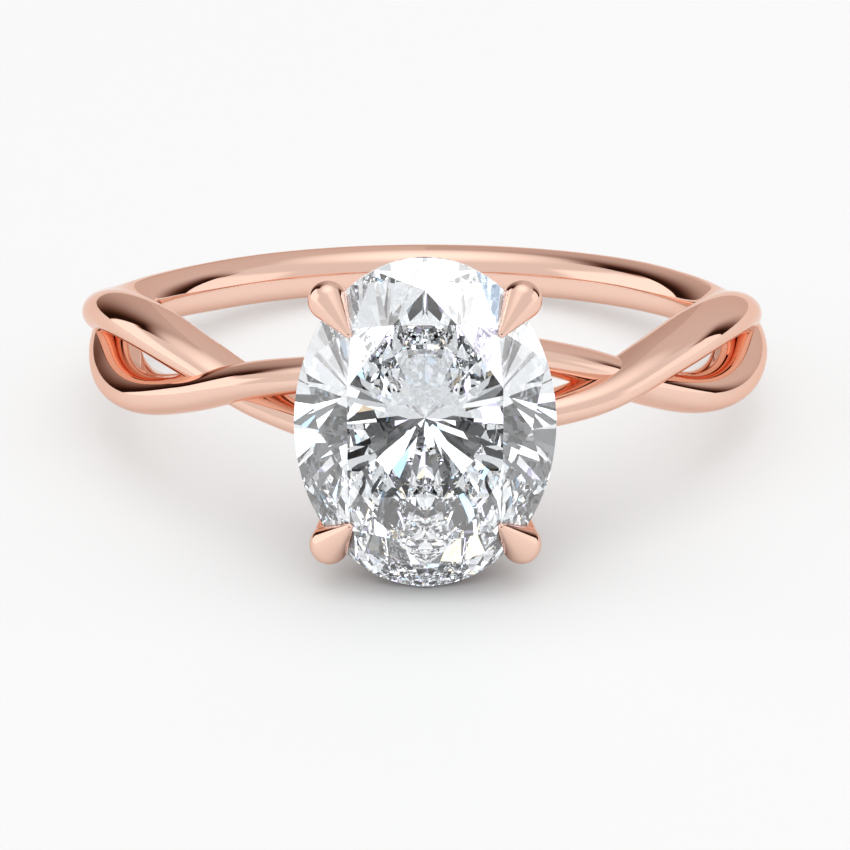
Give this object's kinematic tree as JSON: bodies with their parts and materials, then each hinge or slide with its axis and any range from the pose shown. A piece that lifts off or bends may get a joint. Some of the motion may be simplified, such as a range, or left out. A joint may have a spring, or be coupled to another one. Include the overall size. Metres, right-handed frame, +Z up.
{
  "type": "twisted shank ring",
  "caption": "Rose-gold ring whose band splits into two crossing wires that carry an oval brilliant stone in four claws, lying on its side.",
  "frame": {"origin": "centre of the ring's bounding box on the floor it lies on", "axes": "-Y out of the ring's front, where the stone faces; +Y towards the back of the band; +X to the right seen from the front; +Z up, about ten degrees off the finger axis"},
  "size_m": [0.0199, 0.0234, 0.0089],
  "materials": {
    "rose_gold": "polished 14-carat rose gold",
    "diamond": "clear, cut and polished facets"
  },
  "bodies": {
    "root": {"shank_and_claws": "rose_gold", "oval_stone": "diamond"}
  },
  "joints": []
}
